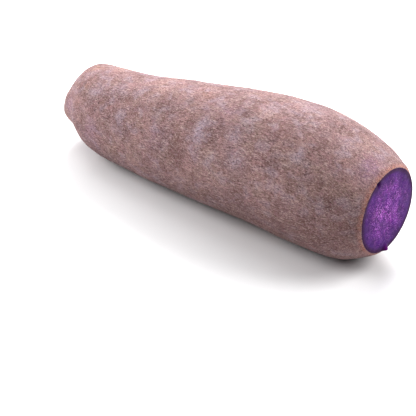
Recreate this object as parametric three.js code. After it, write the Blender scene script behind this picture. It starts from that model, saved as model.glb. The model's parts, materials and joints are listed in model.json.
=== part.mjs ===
// Purple sweet potato: a tuber with a blunt stem end, sliced straight across at its other end.
// Millimetres, +Z up. +X runs along the tuber towards the cut face. The origin is under the middle
// of the tuber, on the surface that it rests on.

import * as THREE from "three";

// Driving dimensions
const tuberLength = 209;
const heightPerWidth = 0.97; // it grew a little flatter than round
const pressedDepth = 0.7; // how deep the underside is flattened where it lies
const cutTurn = 2; // degrees the knife was off square, seen from above
const cutLean = 1.2; // degrees the knife was off upright
const cutReach = 0.4; // share of the length over which the rings turn to meet the knife
const scarTurn = 0.2; // degrees the blunt stem end is off square, seen from above
const scarLean = -3; // degrees the blunt stem end is off upright
const scarReach = 0.25; // share of the length over which the rings turn to meet the stem end

const pointsAround = 48;
const ringCount = 56;
const wholeTurn = 360;

// The tuber's girth and its lie, from the stem end to the cut. along is a share of the length,
// halfWidth the half breadth, side the shift of its middle towards +Y, and clearance the height of
// its underside over the surface.
const stations = [
  { along: 0, halfWidth: 0, side: 0.3, clearance: 21.5 },
  { along: 0.003, halfWidth: 8.2, side: 0.3, clearance: 13.4 },
  { along: 0.02, halfWidth: 13.1, side: 0.5, clearance: 8.8 },
  { along: 0.065, halfWidth: 18.8, side: 0.9, clearance: 7 },
  { along: 0.15, halfWidth: 23.8, side: -3, clearance: 1.6 },
  { along: 0.275, halfWidth: 26.1, side: -3.8, clearance: 0.8 },
  { along: 0.41, halfWidth: 29.1, side: -2.6, clearance: 0.3 },
  { along: 0.54, halfWidth: 31.4, side: -0.9, clearance: 0 },
  { along: 0.67, halfWidth: 33.1, side: 0.7, clearance: 0 },
  { along: 0.8, halfWidth: 33, side: 1.5, clearance: 0.2 },
  { along: 0.92, halfWidth: 29.4, side: 1.2, clearance: 1.4 },
  { along: 1, halfWidth: 21.4, side: -0.6, clearance: 10.9 },
];

// Low swellings and hollows. around is in degrees from +Y towards +Z; the rest is in millimetres
// along the tuber and degrees around it.
const swellings = [
  // the top shoulder of the stem end
  { along: 9, around: 70, rise: 0.5, reachAlong: 7, reachAround: 28 },
  // the back corner of the stem end, worn off
  { along: 6, around: 125, rise: -0.7, reachAlong: 8, reachAround: 30 },
  // the chin of the stem end, and the hollow behind it
  { along: 7, around: 190, rise: 0.3, reachAlong: 8, reachAround: 26 },
  { along: 24, around: 200, rise: -0.2, reachAlong: 12, reachAround: 40 },
  // a flat stretch half way along the top
  { along: 110, around: 75, rise: -0.2, reachAlong: 30, reachAround: 60 },
  // uneven growth down the back
  { along: 68, around: 350, rise: 0.9, reachAlong: 22, reachAround: 32 },
  { along: 120, around: 325, rise: -0.9, reachAlong: 20, reachAround: 28 },
  { along: 168, around: 0, rise: 0.8, reachAlong: 24, reachAround: 28 },
];

// Curves through the stations. Both take the same parameter, so a ring's place and girth agree.
function curveThrough(points) {
  return new THREE.CatmullRomCurve3(points, false, "catmullrom", 0.5);
}

function axisPoint(station) {
  const axisHeight = station.halfWidth * heightPerWidth + station.clearance;
  return new THREE.Vector3(station.along * tuberLength, station.side, axisHeight);
}

const axisLine = curveThrough(stations.map(axisPoint));
const girthLine = curveThrough(stations.map((s) => new THREE.Vector3(s.halfWidth, 0, 0)));

// How far the swellings push the skin out at one place.
function swellingRise(along, around) {
  let rise = 0;
  for (const swelling of swellings) {
    const turn = THREE.MathUtils.euclideanModulo(around - swelling.around, wholeTurn);
    const awayAround = Math.min(turn, wholeTurn - turn) / swelling.reachAround;
    const awayAlong = (along - swelling.along) / swelling.reachAlong;
    rise += swelling.rise * Math.exp(-(awayAlong ** 2) - awayAround ** 2);
  }
  return rise;
}

// The knife and the stem end aren't square to the tuber, so rings near each end lean a little.
function lean(share, across, up) {
  const towardsCut = Math.max(0, (share - 1 + cutReach) / cutReach) ** 2;
  const towardsStem = Math.max(0, 1 - share / scarReach) ** 2;
  const slope = (degrees, distance) => distance * Math.tan(THREE.MathUtils.degToRad(degrees));
  const cut = slope(cutTurn, across) + slope(cutLean, up);
  const scar = slope(scarTurn, across) + slope(scarLean, up);
  return -towardsCut * cut - towardsStem * scar;
}

// One ring of points round the tuber. Where the underside lies it is pressed flat.
function ringAt(parameter) {
  const axis = axisLine.getPoint(parameter);
  const halfWidth = girthLine.getPoint(parameter).x;
  const ring = [];
  for (let step = 0; step < pointsAround; step += 1) {
    const around = (step / pointsAround) * wholeTurn;
    const angle = THREE.MathUtils.degToRad(around);
    const girth = halfWidth + swellingRise(axis.x, around);
    const across = girth * Math.cos(angle);
    const up = girth * heightPerWidth * Math.sin(angle);
    const x = axis.x + lean(axis.x / tuberLength, across, up);
    const z = Math.max(axis.z + up, pressedDepth) - pressedDepth;
    ring.push(new THREE.Vector3(x, axis.y + across, z));
  }
  return ring;
}

// The closed body: a stem point, rings along the tuber, and the flat cut face.
function tuberGeometry() {
  const stemPoint = axisLine.getPoint(0);
  stemPoint.z -= pressedDepth;
  const rings = [];
  for (let step = 1; step <= ringCount; step += 1) {
    rings.push(ringAt(step / ringCount));
  }
  const lastRing = rings[ringCount - 1];
  const cutCentre = new THREE.Vector3();
  lastRing.forEach((point) => cutCentre.addScaledVector(point, 1 / pointsAround));

  const corners = [stemPoint, ...rings.flat(), cutCentre];
  const cutCentreIndex = corners.length - 1;
  const cornerIndex = (ring, step) => 1 + ring * pointsAround + (step % pointsAround);
  const triangles = [];
  for (let step = 0; step < pointsAround; step += 1) {
    triangles.push(0, cornerIndex(0, step + 1), cornerIndex(0, step));
    for (let ring = 0; ring < ringCount - 1; ring += 1) {
      const near = cornerIndex(ring, step);
      const nearNext = cornerIndex(ring, step + 1);
      const far = cornerIndex(ring + 1, step);
      const farNext = cornerIndex(ring + 1, step + 1);
      triangles.push(near, nearNext, farNext, near, farNext, far);
    }
    const rim = cornerIndex(ringCount - 1, step);
    const rimNext = cornerIndex(ringCount - 1, step + 1);
    triangles.push(cutCentreIndex, rim, rimNext);
  }

  const geometry = new THREE.BufferGeometry().setFromPoints(corners);
  geometry.setIndex(triangles);
  return geometry;
}

// The origin goes to the middle of the footprint, on the resting surface.
function standOnOrigin(geometry) {
  geometry.computeBoundingBox();
  const middle = geometry.boundingBox.getCenter(new THREE.Vector3());
  geometry.translate(-middle.x, -middle.y, -geometry.boundingBox.min.z);
  geometry.computeVertexNormals();
  return geometry;
}

const skin = new THREE.MeshStandardMaterial({ color: "#a78d88", roughness: 0.85, metalness: 0 });
const tuber = new THREE.Mesh(standOnOrigin(tuberGeometry()), skin);
tuber.name = "sweet_potato";

const part = new THREE.Group();
part.add(tuber);

export default part;
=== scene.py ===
import json
import math

import bmesh
import bpy
import numpy as np
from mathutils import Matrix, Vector, noise
from mathutils.bvhtree import BVHTree


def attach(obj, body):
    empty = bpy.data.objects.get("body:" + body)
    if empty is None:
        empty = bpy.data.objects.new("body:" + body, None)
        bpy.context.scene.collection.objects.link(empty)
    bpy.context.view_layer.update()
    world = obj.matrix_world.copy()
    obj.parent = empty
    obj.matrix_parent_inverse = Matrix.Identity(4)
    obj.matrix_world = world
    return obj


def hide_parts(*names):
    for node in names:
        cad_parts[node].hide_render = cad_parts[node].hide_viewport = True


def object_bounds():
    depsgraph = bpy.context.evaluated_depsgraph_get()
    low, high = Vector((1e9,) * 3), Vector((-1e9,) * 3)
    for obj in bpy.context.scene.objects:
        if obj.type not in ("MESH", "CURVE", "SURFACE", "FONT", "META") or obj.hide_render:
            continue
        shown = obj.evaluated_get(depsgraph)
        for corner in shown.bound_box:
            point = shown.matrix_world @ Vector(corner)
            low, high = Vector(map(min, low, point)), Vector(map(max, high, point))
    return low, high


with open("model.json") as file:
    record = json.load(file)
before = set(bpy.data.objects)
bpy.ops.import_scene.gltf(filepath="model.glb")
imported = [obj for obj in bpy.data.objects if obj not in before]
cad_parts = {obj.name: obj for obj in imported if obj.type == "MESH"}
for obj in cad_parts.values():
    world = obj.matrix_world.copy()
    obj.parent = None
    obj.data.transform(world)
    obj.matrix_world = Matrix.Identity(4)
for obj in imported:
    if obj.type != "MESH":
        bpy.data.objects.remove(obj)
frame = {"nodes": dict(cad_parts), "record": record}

# A purple sweet potato with one end sliced off, lying on a white table.
# Metres, +X towards the cut, +Z up. The frame's solid gives the shape, and this gives it its skin.

mm = 0.001
boxLow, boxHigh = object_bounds()
middle = (boxLow + boxHigh) / 2
mounts = {mount["name"]: mount for mount in frame["record"]["mounts"]}


# sRGB hex to the linear colour that a shader takes
def hexToLinear(hexColour):
    parts = [int(hexColour[i:i + 2], 16) / 255 for i in (1, 3, 5)]
    return [c / 12.92 if c <= 0.04045 else ((c + 0.055) / 1.055) ** 2.4 for c in parts] + [1.0]


# adds one node: plain settings by name, then its inputs as values or as links from other nodes
def addNode(tree, kind, inputs=None, **settings):
    node = tree.nodes.new(kind)
    for name, value in settings.items():
        setattr(node, name, value)
    for socket, value in (inputs or {}).items():
        if isinstance(value, bpy.types.NodeSocket):
            tree.links.new(value, node.inputs[socket])
        else:
            node.inputs[socket].default_value = value
    return node


# camera, looking down along the tuber from its cut end

camera = {
    "azimuth": 41.9,         # degrees round from the front
    "elevation": 30.8,       # degrees above the table
    "distance": 0.660,
    "lens": 108.8,           # millimetres, on a 36 mm sensor
    "aim": (-0.0074, -0.0003, -0.0128),      # off the middle of the footprint
}


def addCamera():
    turn, lift = math.radians(camera["azimuth"]), math.radians(camera["elevation"])
    back = Vector((math.sin(turn) * math.cos(lift), -math.cos(turn) * math.cos(lift), math.sin(lift)))
    data = bpy.data.cameras.new("camera")
    data.lens = camera["lens"]
    data.sensor_width = 36
    holder = bpy.data.objects.new("camera", data)
    footprint = Vector((middle.x, middle.y, boxLow.z))
    holder.location = footprint + Vector(camera["aim"]) + back * camera["distance"]
    holder.rotation_euler = back.to_track_quat("Z", "Y").to_euler()
    bpy.context.collection.objects.link(holder)
    bpy.context.scene.camera = holder


addCamera()
print("camera placed")


# the tuber's smooth shape, cast from the frame's solid

tuber = {
    "skinPull": 0.7, "rimPull": 0.35,        # how far one round of smoothing moves a point
    "pointsAround": 288,         # a multiple of 4, so that the round end grids meet the rings
    "barrelRings": 250,
    "fanRings": 26,              # rings over the blunt stem end
    "fanReach": 20 * mm,         # the stem end's rays start this far in from its tip
    "capAngle": 40,              # half angle of the round grid on the stem end, degrees
    "leanFrom": 0.6,             # share of the barrel after which the rings turn to meet the cut
    "smoothing": 22,             # rounds of smoothing that take out the solid's facets
    "rimRoll": 0.3 * mm,         # how far the knife rolled over the edge of the skin
    "underCut": 0.05 * mm,
}

cadTuber = frame["nodes"]["sweet_potato"]
castTree = BVHTree.FromPolygons(
    [vertex.co.copy() for vertex in cadTuber.data.vertices],
    [tuple(face.vertices) for face in cadTuber.data.polygons])
cutCentre = Vector(mounts["cut_face"]["pos_m"])
cutNormal = Vector(mounts["cut_face"]["axis"]).normalized()


def castOut(origin, direction):
    return castTree.ray_cast(Vector(origin), Vector(direction))[0]


# middle of the tuber's section at one place along it
def sectionMiddle(x):
    centre = Vector((x, cutCentre.y, cutCentre.z * 0.8))
    for attempt in range(3):
        centre.y = (castOut(centre, (0, 1, 0)).y + castOut(centre, (0, -1, 0)).y) / 2
        centre.z = (castOut(centre, (0, 0, 1)).z + castOut(centre, (0, 0, -1)).z) / 2
    return centre


# a square grid bent onto a disc: each point's share of the radius and its angle
def roundGrid(cells):
    line = np.linspace(-1, 1, cells + 1)
    a, b = np.meshgrid(line, line, indexing="ij")
    wide = np.abs(a) > np.abs(b)
    safeA, safeB = np.where(a == 0, 1, a), np.where(b == 0, 1, b)
    angle = np.where(wide, math.pi / 4 * b / safeA, math.pi / 2 - math.pi / 4 * a / safeB)
    angle = angle + math.pi * np.where(wide, a < 0, b < 0)
    return np.maximum(np.abs(a), np.abs(b)), angle


# the grid's border, in the same order as a ring's points
def gridBorder(cells):
    last = range(cells, 0, -1)
    first = range(cells)
    return ([(cells, j) for j in first] + [(i, cells) for i in last]
            + [(0, j) for j in last] + [(i, 0) for i in first])


around = tuber["pointsAround"]
cells = around // 4
ringAngles = -math.pi / 4 + np.arange(around) * 2 * math.pi / around
radial = np.stack([0 * ringAngles, np.cos(ringAngles), np.sin(ringAngles)], -1)


# rays out of the tuber's middle, ring by ring, and where they meet the solid
def castRings():
    fanOrigin = sectionMiddle(boxLow.x + tuber["fanReach"])
    innerCut = cutCentre - cutNormal * tuber["underCut"]
    placesAlong = np.linspace(fanOrigin.x, cutCentre.x - 4 * mm, 24)
    line = [sectionMiddle(x) for x in placesAlong] + [innerCut]
    lineX = [point.x for point in line]
    rings = []
    capAngle = math.radians(tuber["capAngle"])
    for step in range(tuber["fanRings"]):
        tilt = capAngle + (math.pi / 2 - capAngle) * step / tuber["fanRings"]
        directions = radial * math.sin(tilt) - np.array([math.cos(tilt), 0, 0])
        rings.append([castOut(fanOrigin, direction) for direction in directions])
    slope = (radial @ np.array(cutNormal)) / cutNormal.x
    for share in np.linspace(0, 1, tuber["barrelRings"]):
        x = fanOrigin.x + share * (innerCut.x - fanOrigin.x)
        origin = (x, np.interp(x, lineX, [p.y for p in line]), np.interp(x, lineX, [p.z for p in line]))
        lean = max(0, (share - tuber["leanFrom"]) / (1 - tuber["leanFrom"])) ** 2
        directions = radial - lean * slope[:, None] * np.array([1, 0, 0])
        rings.append([castOut(origin, direction) for direction in directions])
    share, angle = roundGrid(cells)
    tilt = share * capAngle
    directions = np.stack([-np.cos(tilt), np.sin(tilt) * np.cos(angle), np.sin(tilt) * np.sin(angle)], -1)
    cap = [castOut(fanOrigin, direction) for direction in directions.reshape(-1, 3)]
    return np.array(rings, float), np.array(cap, float).reshape(cells + 1, cells + 1, 3)


ringGrid, stemCap = castRings()
ringTotal = len(ringGrid)
print("shape cast:", ringTotal, "rings of", around)


# numbers the points of a round grid whose border is already a ring of the mesh
def numberGrid(firstFree, borderStart):
    numbers = np.zeros((cells + 1, cells + 1), int)
    numbers[1:-1, 1:-1] = firstFree + np.arange((cells - 1) ** 2).reshape(cells - 1, cells - 1)
    for place, (i, j) in enumerate(gridBorder(cells)):
        numbers[i, j] = borderStart + place
    return numbers


def quadsOf(numbers):
    corners = [numbers[:-1, :-1], numbers[1:, :-1], numbers[1:, 1:], numbers[:-1, 1:]]
    return np.stack(corners, -1).reshape(-1, 4)


ringNumbers = np.arange(ringTotal * around).reshape(ringTotal, around)
stemNumbers = numberGrid(ringTotal * around, 0)
skinPoints = np.concatenate([ringGrid.reshape(-1, 3), stemCap[1:-1, 1:-1].reshape(-1, 3)])
closedRings = np.concatenate([ringNumbers, ringNumbers[:, :1]], 1)
ringQuads = quadsOf(closedRings)
stemQuads = quadsOf(stemNumbers)[:, ::-1]
skinQuads = np.concatenate([ringQuads, stemQuads])
rimStart = (ringTotal - 1) * around


# each point moves to the middle of its neighbours, apart from the rim of the cut
def smoothSkin(points, rounds):
    edges = np.concatenate([skinQuads[:, [i, (i + 1) % 4]] for i in range(4)])
    edges = np.concatenate([edges, edges[:, ::-1]])
    count = np.bincount(edges[:, 0], minlength=len(points))[:, None]
    held = np.zeros(len(points), bool)
    held[rimStart:rimStart + around] = True
    for turn in range(rounds):
        total = np.stack([np.bincount(edges[:, 0], points[edges[:, 1], axis], len(points))
                          for axis in range(3)], -1)
        moved = points + tuber["skinPull"] * (total / count - points)
        rim = points[held]
        rim = rim + tuber["rimPull"] * ((np.roll(rim, 1, 0) + np.roll(rim, -1, 0)) / 2 - rim)
        points = np.where(held[:, None], points, moved)
        points[held] = rim
    return points


def pointNormals(points, quads):
    diagonals = np.cross(points[quads[:, 2]] - points[quads[:, 0]], points[quads[:, 3]] - points[quads[:, 1]])
    normals = np.zeros_like(points)
    for corner in range(4):
        for axis in range(3):
            normals[:, axis] += np.bincount(quads[:, corner], diagonals[:, axis], len(points))
    return normals / np.linalg.norm(normals, axis=1)[:, None]


skinPoints = smoothSkin(skinPoints, tuber["smoothing"])
skinNormals = pointNormals(skinPoints, skinQuads)
if np.mean(np.sum(skinNormals * (skinPoints - np.array(middle)), 1)) < 0:
    skinNormals = -skinNormals
print("shape smoothed")


# the relief of the skin

relief = {
    "lumpSize": 30 * mm, "lumpHeight": 0.55 * mm,        # slow swellings of uneven growth
    "swellSize": 11 * mm, "swellHeight": 0.20 * mm,
    "wrinkleSize": 3.4 * mm, "wrinkleStretch": 3.5, "wrinkleHeight": 0.09 * mm,  # drawn out lengthwise
    "corkSize": 2.0 * mm, "corkHeight": 0.05 * mm,       # rough cork between the pits
    "plump": 0.45 * mm,                                  # gives back what the smoothing took
    "rimCalm": 2.5 * mm,                                 # the relief dies down this close to the cut
}

# root scars: share along, degrees round from the back over the top, half width, depth
rootScars = [
    (0.12, 129, 1.0, 0.18), (0.22, 147, 1.0, 0.15), (0.48, 118, 1.5, 0.18), (0.27, 236, 2.2, 0.45),
    (0.37, 28, 2.8, 0.6), (0.44, 310, 2.5, 0.55), (0.56, 352, 2.8, 0.6), (0.62, 250, 2.3, 0.45),
    (0.66, 30, 1.8, 0.35), (0.72, 325, 2.6, 0.55), (0.85, 20, 2.4, 0.5), (0.90, 290, 2.0, 0.4),
    (0.20, 335, 2.6, 0.55), (0.12, 262, 2.2, 0.45), (0.33, 275, 1.8, 0.35), (0.10, 20, 2.0, 0.4),
]


# the corky crater that the stem left in the blunt end
stemScar = {"radius": 3.8 * mm, "depth": 0.55 * mm, "lip": 0.30 * mm, "lipWidth": 1.3 * mm}


# soft noise from -1 to 1 over the points, with lumps of one size, drawn out along X by stretch
def noiseOver(points, size, stretch=1, offset=0.0, octaves=1):
    scaled = points / size
    scaled[:, 0] /= stretch
    scaled += offset
    total, weight = np.zeros(len(points)), 0
    for octave in range(octaves):
        factor = 2 ** octave
        values = np.array([noise.noise(point) for point in (scaled * factor).tolist()])
        total += values / factor
        weight += 1 / factor
    return total / weight * 1.6


fromCut = (np.array(cutCentre) - skinPoints) @ np.array(cutNormal)      # metres behind the cut plane
lengthShare = (skinPoints[:, 0] - boxLow.x) / (boxHigh.x - boxLow.x)
sectionY = cutCentre.y
sectionZ = np.interp(lengthShare, [0, 0.15, 0.6, 1], [20 * mm, 25 * mm, 31 * mm, cutCentre.z])
degreesRound = np.degrees(np.arctan2(skinPoints[:, 2] - sectionZ, skinPoints[:, 1] - sectionY)) % 360


# how deep each point sits in a root scar: a slit across the tuber inside a shallow dimple
def scarDepths():
    depth = np.zeros(len(skinPoints))
    mark = np.zeros(len(skinPoints))
    girth = np.hypot(skinPoints[:, 1] - sectionY, skinPoints[:, 2] - sectionZ)
    for share, degrees, halfWidth, deepest in rootScars:
        alongAway = (lengthShare - share) * (boxHigh.x - boxLow.x) / mm
        turn = (degreesRound - degrees + 180) % 360 - 180
        acrossAway = np.radians(turn) * girth / mm
        dimple = np.exp(-(alongAway / (halfWidth * 1.1)) ** 2 - (acrossAway / (halfWidth * 1.5)) ** 2)
        slit = np.exp(-(alongAway / 0.7) ** 2 - (acrossAway / halfWidth) ** 2)
        lip = np.exp(-((alongAway - 1.5) / 0.9) ** 2 - (acrossAway / (halfWidth * 1.1)) ** 2)
        depth += deepest * (0.6 * dimple + 0.5 * slit - 0.35 * lip)
        mark = np.maximum(mark, (slit + 0.45 * dimple) * min(1, 0.35 + deepest))
    return depth * mm, mark


def stemScarRelief():
    tip = skinPoints[np.argmin(skinPoints[:, 0])]
    away = np.linalg.norm(skinPoints - tip, axis=1)
    ragged = 1 + 0.25 * noiseOver(skinPoints, 2.5 * mm, 1, 6.6, 2)
    away = away * ragged
    bowl = 1 / (1 + np.exp((away - stemScar["radius"]) / (0.35 * mm)))
    lip = np.exp(-((away - stemScar["radius"] - stemScar["lipWidth"] / 2) / stemScar["lipWidth"]) ** 2)
    return stemScar["lip"] * lip - stemScar["depth"] * bowl, bowl


def shapeRelief():
    calm = np.clip(fromCut / relief["rimCalm"], 0, 1)
    calm = calm * calm * (3 - 2 * calm)
    lumps = noiseOver(skinPoints, relief["lumpSize"], 1.3, 11.3, 2) * relief["lumpHeight"]
    swells = noiseOver(skinPoints, relief["swellSize"], 1.2, 4.7, 2) * relief["swellHeight"]
    wrinkles = noiseOver(skinPoints, relief["wrinkleSize"], relief["wrinkleStretch"], 7.9, 2)
    cork = noiseOver(skinPoints, relief["corkSize"], 1.3, 2.2, 1)
    fine = wrinkles * relief["wrinkleHeight"] + cork * relief["corkHeight"]
    scars, mark = scarDepths()
    stemHeight, stemMark = stemScarRelief()
    height = calm * (lumps + swells + relief["plump"]) + (0.25 + 0.75 * calm) * fine - scars + stemHeight
    resting = skinPoints[:, 2] < 0.25 * mm       # the strip it lies on stays flat
    height = np.where(resting, np.minimum(height, 0) * 0.3, height)
    return height, np.maximum(mark, 0.8 * stemMark)


reliefHeight, scarMarks = shapeRelief()
skinPoints = skinPoints + skinNormals * reliefHeight[:, None]
skinPoints[:, 2] = np.maximum(skinPoints[:, 2], 0)
rimPlaces = slice(rimStart, rimStart + around)
rimPoints = skinPoints[rimPlaces]
offPlane = (rimPoints - np.array(cutCentre)) @ np.array(cutNormal)
rimPoints = rimPoints - (offPlane + tuber["rimRoll"])[:, None] * np.array(cutNormal)
skinPoints[rimPlaces] = rimPoints
print("relief raised: root scars", len(rootScars))


# the cut face: a flat slice with a ragged nick at its edge and a nib of torn flesh

cutFace = {
    "waveSize": 9 * mm, "waveHeight": 0.10 * mm,         # the knife's slight wander
    "grainSize": 1.6 * mm, "grainHeight": 0.035 * mm,    # starchy grain
    "nickAngle": 117.5, "nickWidth": 1.7 * mm, "nickDepth": 0.9 * mm,
    "nibAngle": 268.5, "nibWidth": 1.5 * mm, "nibHeight": 1.7 * mm,
}


def makeCutFace():
    normal = np.array(cutNormal)
    centre = rimPoints.mean(0) + normal * tuber["rimRoll"]
    outward = rimPoints + normal * tuber["rimRoll"] - centre
    reach = np.linalg.norm(outward, axis=1)
    edgeRing = centre + outward * (1 - tuber["rimRoll"] / reach)[:, None]
    share, angle = roundGrid(cells)
    turns = np.append(ringAngles, ringAngles[0] + 2 * math.pi)
    wrapped = (angle - ringAngles[0]) % (2 * math.pi) + ringAngles[0]
    ring = edgeRing - centre
    closed = np.concatenate([ring, ring[:1]])
    spokes = np.stack([np.interp(wrapped, turns, closed[:, axis]) for axis in range(3)], -1)
    grid = centre + share[..., None] * spokes
    inner = grid[1:-1, 1:-1].reshape(-1, 3)
    points = np.concatenate([edgeRing, inner])
    length = np.linalg.norm(spokes, axis=-1)
    depthIn = np.concatenate([0 * reach, ((1 - share) * length)[1:-1, 1:-1].reshape(-1)])
    return points, depthIn, centre


fleshPoints, fleshDepth, faceCentre = makeCutFace()


# a place on the rim, from its angle round the cut
def rimPlace(degrees, inward=0.0):
    turn = math.radians(degrees)
    nearest = np.argmin(np.abs((ringAngles - turn + math.pi) % (2 * math.pi) - math.pi))
    spoke = rimPoints[nearest] - faceCentre
    return faceCentre + spoke * (1 - inward / np.linalg.norm(spoke))


def shapeCutFace(points):
    normal = np.array(cutNormal)
    calm = np.clip(fleshDepth / (1.5 * mm), 0, 1)
    waves = noiseOver(points, cutFace["waveSize"], 1, 3.1, 2) * cutFace["waveHeight"]
    grain = noiseOver(points, cutFace["grainSize"], 1, 8.4, 2) * cutFace["grainHeight"]
    height = calm * waves + grain
    nickShade = np.linalg.norm(points - rimPlace(cutFace["nickAngle"], 1.2 * mm), axis=1)
    ragged = 1 + 0.5 * noiseOver(points, 1.3 * mm, 1, 5.5, 1)
    height -= cutFace["nickDepth"] * np.exp(-(nickShade / cutFace["nickWidth"] * 1.6) ** 2) * ragged
    nib = np.linalg.norm(points - rimPlace(cutFace["nibAngle"], 0.9 * mm), axis=1)
    height += cutFace["nibHeight"] * np.exp(-(nib / cutFace["nibWidth"]) ** 2)
    return points + normal * height[:, None], nickShade, nib


fleshPoints, nickAway, nibAway = shapeCutFace(fleshPoints)
fleshStart = len(skinPoints)
edgeNumbers = fleshStart + np.arange(around)
cutNumbers = numberGrid(fleshStart + around, fleshStart)
rimNumbers = rimStart + np.arange(around)
band = np.stack([rimNumbers, edgeNumbers], 0)
bandQuads = quadsOf(np.concatenate([band, band[:, :1]], 1))
cutQuads = quadsOf(cutNumbers)
print("cut face shaped")


# one closed mesh, with what the finishes need written on its points

def makeTuber():
    points = np.concatenate([skinPoints, fleshPoints])
    quads = np.concatenate([skinQuads, bandQuads, cutQuads])
    mesh = bpy.data.meshes.new("purple_sweet_potato")
    mesh.from_pydata(points.tolist(), [], quads.tolist())
    finishes = np.zeros(len(quads), int)
    finishes[len(skinQuads) + len(bandQuads):] = 1
    mesh.polygons.foreach_set("material_index", finishes)
    mesh.polygons.foreach_set("use_smooth", np.ones(len(quads), bool))
    work = bmesh.new()
    work.from_mesh(mesh)
    bmesh.ops.recalc_face_normals(work, faces=work.faces)
    work.to_mesh(mesh)
    work.free()
    return mesh


def writeValues(mesh, name, skinValues, fleshValues):
    attribute = mesh.attributes.new(name, "FLOAT", "POINT")
    attribute.data.foreach_set("value", np.concatenate([skinValues, fleshValues]).astype(np.float32))


# soft patches: share along, degrees round, reach along and across in mm, strength
blooms = [
    (0.55, 139, 3, 6, 1.0), (0.56, 153, 3, 5, 0.8), (0.18, 134, 5, 5, 0.6), (0.25, 123, 5, 6, 0.5),
    (0.82, 130, 3, 4, 0.6), (0.68, 154, 5, 5, 0.7), (0.65, 135, 4, 5, 0.7), (0.75, 77, 7, 5, 0.5),
    (0.89, 98, 5, 4, 0.5), (0.62, 300, 9, 8, 0.6), (0.30, 20, 9, 7, 0.6), (0.86, 40, 8, 8, 0.5),
    (0.50, 345, 8, 9, 0.6), (0.90, 250, 7, 7, 0.5), (0.35, 240, 7, 7, 0.5),
    (0.97, 222, 3, 4, 0.5),
]
lilacs = [
    (0.96, 100, 5, 6, 0.9), (0.97, 119, 4, 5, 0.6), (0.08, 164, 5, 6, 0.6), (0.20, 184, 6, 8, 0.6),
    (0.43, 164, 6, 6, 0.4), (0.60, 118, 6, 6, 0.3), (0.10, 240, 6, 9, 0.6), (0.08, 330, 6, 9, 0.6),
    (0.95, 320, 6, 9, 0.7), (0.40, 300, 10, 9, 0.5), (0.72, 10, 10, 8, 0.5),
]
# brown patches; the ones low on the front side, about 180 to 215 degrees round, are painted shade that
# darkens the lower side
brownPatchesAndLowShade = [
    (0.50, 157, 4, 9, 0.7), (0.50, 172, 5, 8, 0.6), (0.48, 118, 3, 6, 0.5), (0.93, 162, 4, 5, 0.6),
    (0.96, 182, 4, 5, 0.6), (0.77, 119, 7, 6, 0.3), (0.75, 138, 7, 6, 0.4), (0.92, 202, 9, 8, 0.5),
    (0.88, 186, 5, 6, 0.6),
    (0.82, 198, 7, 6, 0.5), (0.78, 207, 36, 12, 0.55), (0.48, 10, 9, 10, 0.6), (0.70, 335, 8, 11, 0.6),
    (0.25, 290, 9, 9, 0.5),
    (0.62, 215, 14, 9, 0.5),
]
tanned = [
    (0.10, 95, 5, 4, 0.8), (0.13, 129, 2, 2, 0.6), (0.22, 147, 1.5, 1.5, 0.6), (0.05, 200, 4, 4, 0.4),
    (0.50, 106, 7, 3, 0.4), (0.98, 216, 3, 5, 0.4), (0.06, 20, 4, 6, 0.5),
]


def patchStrength(patches):
    strength = np.zeros(len(skinPoints))
    girth = np.hypot(skinPoints[:, 1] - sectionY, skinPoints[:, 2] - sectionZ)
    for share, degrees, reachAlong, reachAcross, amount in patches:
        alongAway = (lengthShare - share) * (boxHigh.x - boxLow.x) / mm
        turn = (degreesRound - degrees + 180) % 360 - 180
        acrossAway = np.radians(turn) * girth / mm
        strength += amount * np.exp(-(alongAway / reachAlong) ** 2 - (acrossAway / reachAcross) ** 2)
    return strength


# the speckled heart of the flesh, in clumps that fade out towards the rim
def heartOfFlesh():
    inward = np.clip((fleshDepth - 2.5 * mm) / (10 * mm), 0, 1) * 0.9 + 0.1
    clumps = np.clip(0.72 + 1.0 * noiseOver(fleshPoints, 4.5 * mm, 1, 9.4, 2), 0.35, 1)
    return inward * clumps


mesh = makeTuber()
zerosFlesh, zerosSkin = np.zeros(len(fleshPoints)), np.zeros(len(skinPoints))
writeValues(mesh, "nearCut", 0.9 * np.clip((2.6 * mm - fromCut) / (2.4 * mm), 0, 1), zerosFlesh)
writeValues(mesh, "scar", scarMarks, zerosFlesh)
writeValues(mesh, "bloom", patchStrength(blooms), zerosFlesh)
writeValues(mesh, "lilac", patchStrength(lilacs), zerosFlesh)
# brown patches, and painted shade low on the front side
writeValues(mesh, "brownAndLowShade", patchStrength(brownPatchesAndLowShade), zerosFlesh)
writeValues(mesh, "tan", patchStrength(tanned), zerosFlesh)
writeValues(mesh, "heart", zerosSkin, heartOfFlesh())
writeValues(mesh, "rim", zerosSkin, 0.92 * np.clip((2.6 * mm - fleshDepth) / (1.7 * mm), 0, 1))
writeValues(mesh, "torn", zerosSkin, np.exp(-(nibAway / (1.3 * mm)) ** 2))
# painted shade inside the nick, fading out from it
writeValues(mesh, "nickShade", zerosSkin, np.exp(-(nickAway / (1.3 * mm)) ** 2))


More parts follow.
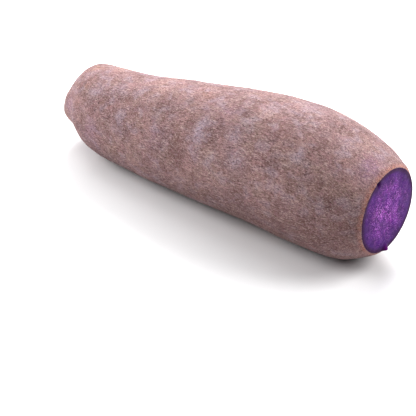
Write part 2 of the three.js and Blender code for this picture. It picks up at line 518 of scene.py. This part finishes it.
# skin laid out as one sheet along and round the tuber, with the two ends as discs beside it
def layOut(mesh):
    places = np.zeros((len(skinPoints) + len(fleshPoints), 2))
    lengths = np.linalg.norm(np.diff(ringGrid, axis=0), axis=2).mean(1)
    alongRing = np.concatenate([[0], np.cumsum(lengths)])
    alongRing = 0.01 + 0.98 * alongRing / alongRing[-1]
    sheetTop = 0.74
    share, angle = roundGrid(cells)
    disc = np.stack([share * np.cos(angle), share * np.sin(angle)], -1)
    layer = mesh.uv_layers.new(name="OFBake")
    loopPoints = np.zeros(len(mesh.loops), int)
    mesh.loops.foreach_get("vertex_index", loopPoints)
    faceStarts = np.zeros(len(mesh.polygons), int)
    mesh.polygons.foreach_get("loop_start", faceStarts)
    loopUv = np.zeros((len(loopPoints), 2))
    ring, step = loopPoints // around, loopPoints % around
    ringLoops = 4 * len(ringQuads)
    first = slice(0, ringLoops)
    steps = step[first].reshape(-1, 4)
    seam = steps.max(1) - steps.min(1) > 1
    steps = np.where(seam[:, None] & (steps == 0), around, steps)
    loopUv[first, 0] = alongRing[ring[first]]
    loopUv[first, 1] = 0.005 + sheetTop * steps.reshape(-1) / around
    for numbers, centre, radius, begin, count in (
            (stemNumbers, (0.13, 0.875), 0.112, ringLoops, 4 * len(stemQuads)),
            (cutNumbers, (0.40, 0.875), 0.116, 4 * (len(skinQuads) + len(bandQuads)), 4 * len(cutQuads))):
        places[numbers.reshape(-1)] = np.array(centre) + radius * disc.reshape(-1, 2)
        part = slice(begin, begin + count)
        loopUv[part] = places[loopPoints[part]]
    turn = np.stack([np.cos(ringAngles), np.sin(ringAngles)], -1)
    places[rimNumbers] = np.array((0.40, 0.875)) + 0.120 * turn
    part = slice(4 * len(skinQuads), 4 * (len(skinQuads) + len(bandQuads)))
    loopUv[part] = places[loopPoints[part]]
    layer.data.foreach_set("uv", loopUv.reshape(-1))


layOut(mesh)
potato = bpy.data.objects.new("purple_sweet_potato", mesh)
bpy.context.collection.objects.link(potato)
print("tuber made:", len(mesh.polygons), "faces")


# finishes, painted in layers: each is a colour let through by a noise, and by a mask if it has one

# noises: millimetres across, how far drawn out lengthwise, detail, roughness, distortion
# layers: noise, where it starts and is full, least and most of the colour, colour, mask
def paintLayers(tree, finish, masks):
    place = addNode(tree, "ShaderNodeTexCoord").outputs["Object"]
    noises = {}
    for number, (name, recipe) in enumerate(finish["noises"].items()):
        size, stretch, detail, rough, distortion = recipe
        perMetre = 1 / (size * mm)
        spot = addNode(tree, "ShaderNodeVectorMath", {
            0: place, 1: (perMetre / stretch, perMetre, perMetre), 2: (7.3 * number, 3.1 * number, 0),
        }, operation="MULTIPLY_ADD").outputs[0]
        noises[name] = addNode(tree, "ShaderNodeTexNoise", {
            "Vector": spot, "Scale": 1.0, "Detail": detail, "Roughness": rough, "Distortion": distortion,
        }).outputs["Fac"]
    colour = hexToLinear(finish["base"])
    for noiseName, start, full, least, most, tint, mask in finish["layers"]:
        amount = addNode(tree, "ShaderNodeMapRange", {
            "Value": noises[noiseName], "From Min": start, "From Max": full, "To Min": least, "To Max": most,
        }).outputs["Result"]
        if mask:
            amount = addNode(tree, "ShaderNodeMath", {0: amount, 1: masks[mask]},
                             operation="MULTIPLY").outputs[0]
        colour = addNode(tree, "ShaderNodeMix", {0: amount, 6: colour, 7: hexToLinear(tint)},
                         data_type="RGBA", clamp_factor=True).outputs[2]
    return colour, noises


def startMaterial(name, maskNames):
    material = bpy.data.materials.new(name)
    material.use_nodes = True
    tree = material.node_tree
    tree.nodes.clear()
    masks = {mask: addNode(tree, "ShaderNodeAttribute", attribute_name=mask).outputs["Fac"]
             for mask in maskNames}
    return material, tree, masks


# relief from shares of the noises, then the shader, matt or moist by its roughness
def finishMaterial(tree, finish, colour, noises):
    height = 0.0
    for name, share in finish["bumpShares"]:
        height = addNode(tree, "ShaderNodeMath", {0: noises[name], 1: share, 2: height},
                         operation="MULTIPLY_ADD").outputs[0]
    bump = addNode(tree, "ShaderNodeBump", {
        "Strength": 1.0, "Distance": finish["bumpDepth"] * mm, "Height": height,
    }).outputs["Normal"]
    roughness = addNode(tree, "ShaderNodeMapRange", {
        "Value": noises[finish["roughBy"]], "From Min": 0.3, "From Max": 0.7,
        "To Min": finish["roughness"] + 0.08, "To Max": finish["roughness"] - 0.08,
    }).outputs["Result"]
    shader = addNode(tree, "ShaderNodeBsdfPrincipled", {
        "Base Color": colour, "Roughness": roughness, "Normal": bump,
        "IOR": finish["ior"], "Specular IOR Level": finish["shine"],
    }).outputs[0]
    addNode(tree, "ShaderNodeOutputMaterial", {"Surface": shader})


# Cork grown over the tuber, rubbed and dry. It gives a matt brown-mauve with fine pits and pale scuffs, and
# painted shade darkens it low on the front side.
skin = {
    "base": "#876B6B",
    "noises": {
        "tone": (15, 1.3, 3, 0.55, 0),
        "clouds": (7, 1.2, 3, 0.6, 0.3),
        "stains": (9, 1.3, 2, 0.5, 0.5),
        "blotches": (6, 1.1, 2, 0.5, 0.6),
        "mist": (6, 1.2, 1, 0.5, 0.4),
        "broken": (2.4, 1.2, 3, 0.65, 0.4),
        "flush": (1.1, 1.5, 2, 0.6, 0),
        "grain": (0.62, 1.5, 3, 0.65, 0.7),
        "dashes": (0.5, 2.8, 2, 0.5, 0.6),
        "fibres": (0.5, 6, 2, 0.5, 1.5),      # finer in life, drawn at twice the width to show
    },
    "layers": [
        ("tone", 0.50, 0.36, 0, 1, "#735B5C", None),
        ("tone", 0.50, 0.64, 0, 1, "#967975", None),
        ("clouds", 0.52, 0.70, 0, 0.7, "#9B7775", None),          # pinker
        ("clouds", 0.46, 0.30, 0, 0.3, "#A193A0", None),          # lavender bloom
        ("stains", 0.48, 0.66, 0, 0.5, "#8C766C", None),          # khaki
        ("blotches", 0.48, 0.66, 0, 0.6, "#6C504B", None),        # brown
        ("mist", 0.53, 0.68, 0, 0.4, "#A193A0", None),
        ("broken", 0.34, 0.62, 0.25, 1, "#A193A0", "bloom"),
        ("broken", 0.34, 0.62, 0.25, 1, "#8F7088", "lilac"),
        # brown patches, and painted shade on the lower front side
        ("broken", 0.34, 0.62, 0.25, 1, "#6C504B", "brownAndLowShade"),
        ("broken", 0.34, 0.62, 0.25, 1, "#A57D6E", "tan"),
        ("broken", 0.30, 0.60, 0.5, 1, "#B98070", "nearCut"),     # drying back from the knife
        ("flush", 0.48, 0.66, 0, 0.5, "#906B72", None),
        ("grain", 0.48, 0.36, 0, 0.5, "#4F3A3A", None),
        ("grain", 0.53, 0.66, 0, 0.5, "#B5A09D", None),
        ("dashes", 0.42, 0.32, 0, 0.7, "#4F3A3A", None),
        ("fibres", 0.57, 0.67, 0, 0.65, "#B5A09D", None),
        ("fibres", 0.43, 0.33, 0, 0.65, "#4F3A3A", None),
        ("broken", 0.44, 0.56, 0, 0.8, "#4F3A3A", "pits"),
        ("broken", 0, 1, 0.75, 0.75, "#4A3531", "scar"),
    ],
    "pitSpacing": 2.0,
    "bumpShares": (("grain", 0.5), ("dashes", 0.35), ("fibres", 0.15)),
    "bumpDepth": 0.06,
    "roughBy": "grain", "roughness": 0.82, "ior": 1.42, "shine": 0.35,
}


def corkySkin():
    material, tree, masks = startMaterial(
        "corkSkin_grownAndRubbed", ("bloom", "lilac", "brownAndLowShade", "tan", "nearCut", "scar"))
    place = addNode(tree, "ShaderNodeTexCoord").outputs["Object"]
    perMetre = 1 / (skin["pitSpacing"] * mm)
    cells = addNode(tree, "ShaderNodeVectorMath", {0: place, 1: (perMetre / 1.5, perMetre, perMetre)},
                    operation="MULTIPLY").outputs[0]
    fromPit = addNode(tree, "ShaderNodeTexVoronoi", {"Vector": cells, "Scale": 1.0}).outputs["Distance"]
    masks["pits"] = addNode(tree, "ShaderNodeMapRange", {
        "Value": fromPit, "From Min": 0.10, "From Max": 0.26, "To Min": 1.0, "To Max": 0.0,
    }).outputs["Result"]
    colour, noises = paintLayers(tree, skin, masks)
    finishMaterial(tree, skin, colour, noises)
    return material


# Raw purple flesh, cut with a knife. Wet starchy cells give a deep purple, speckled paler at the heart, under
# a bluish haze that is partly a painted reflection of the sky.
flesh = {
    "base": "#370C50",
    "noises": {
        "cloud": (6, 1, 3, 0.6, 0),
        "paleHazeAndSkySheen": (2.6, 1, 4, 0.7, 0),
        "blush": (2.4, 1, 2, 0.6, 0),
        "specks": (0.6, 1, 2, 0.7, 0.8),
        "cells": (0.62, 1, 2, 0.6, 0),
        "sparks": (0.48, 1, 2, 0.6, 0),
    },
    "layers": [
        ("cloud", 0.35, 0.65, 0, 1, "#4F1572", None),
        # paler bluish haze: partly real mottling, partly a painted reflection of the sky on the wet flesh
        ("paleHazeAndSkySheen", 0.48, 0.72, 0, 0.45, "#4D3480", None),
        ("blush", 0.44, 0.62, 0, 0.45, "#91309F", "heart"),
        ("specks", 0.52, 0.62, 0, 1, "#91309F", "heart"),
        ("cells", 0.47, 0.36, 0, 0.6, "#370C50", None),
        ("sparks", 0.55, 0.64, 0, 0.9, "#DE98EA", "heart"),
        ("cloud", 0, 1, 1, 1, "#330338", "rim"),
        ("cloud", 0, 1, 0.8, 0.8, "#7A1584", "torn"),
        # painted shade darkens the flesh inside the nick
        ("cloud", 0, 1, 0.9, 0.9, "#2A0632", "nickShade"),
    ],
    "bumpShares": (("specks", 0.6), ("sparks", 0.4)),
    "bumpDepth": 0.08,
    "roughBy": "blush", "roughness": 0.42, "ior": 1.36, "shine": 0.15,
}


def purpleFlesh():
    material, tree, masks = startMaterial("purpleFlesh_knifeCut", ("heart", "rim", "torn", "nickShade"))
    colour, noises = paintLayers(tree, flesh, masks)
    finishMaterial(tree, flesh, colour, noises)
    return material


mesh.materials.append(corkySkin())
mesh.materials.append(purpleFlesh())
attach(potato, "root")
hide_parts("sweet_potato")
print("skin and flesh finished")


# white table and soft studio light

studio = {
    "tableHalf": 4.0, "tableColour": "#E0E0E1",
    "skyStrength": 0.20,
    "lamps": [                   # name, power, size, place
        ("softboxLeft", 11.0, 0.7, (-0.60, -0.55, 0.60)),
        ("softboxRight", 11.5, 0.7, (0.60, 0.55, 0.60)),
        ("softboxTop", 5.4, 0.7, (-0.55, 0.10, 0.80)),
        ("softboxBack", 13.6, 0.7, (-0.40, 0.70, 0.60)),
    ],
    "contrast": 0.85,
}


def makeTable():
    half = studio["tableHalf"]
    sheet = bpy.data.meshes.new("table")
    sheet.from_pydata([(-half, -half, 0), (half, -half, 0), (half, half, 0), (-half, half, 0)], [],
                      [(0, 1, 2, 3)])
    table = bpy.data.objects.new("table", sheet)
    bpy.context.collection.objects.link(table)
    table.location.z = boxLow.z
    material = bpy.data.materials.new("whiteAcrylic_satin")
    material.use_nodes = True
    shader = material.node_tree.nodes["Principled BSDF"]
    shader.inputs["Base Color"].default_value = hexToLinear(studio["tableColour"])
    shader.inputs["Roughness"].default_value = 0.5
    sheet.materials.append(material)


def addLight(name, power, size, place):
    data = bpy.data.lights.new(name, "AREA")
    data.energy = power
    data.shape = "DISK"
    data.size = size
    lamp = bpy.data.objects.new(name, data)
    lamp.location = place
    lamp.rotation_euler = Vector(place).to_track_quat("Z", "Y").to_euler()
    bpy.context.collection.objects.link(lamp)


def lightStudio():
    for name, power, size, place in studio["lamps"]:
        addLight(name, power, size, place)
    world = bpy.data.worlds.new("studio")
    world.use_nodes = True
    sky = world.node_tree.nodes["Background"]
    sky.inputs["Color"].default_value = (1, 1, 1, 1)
    sky.inputs["Strength"].default_value = studio["skyStrength"]
    bpy.context.scene.world = world
    bpy.context.scene.view_settings.view_transform = "Standard"
    bpy.context.scene.view_settings.gamma = studio["contrast"]


makeTable()
lightStudio()
print("table and lights placed")
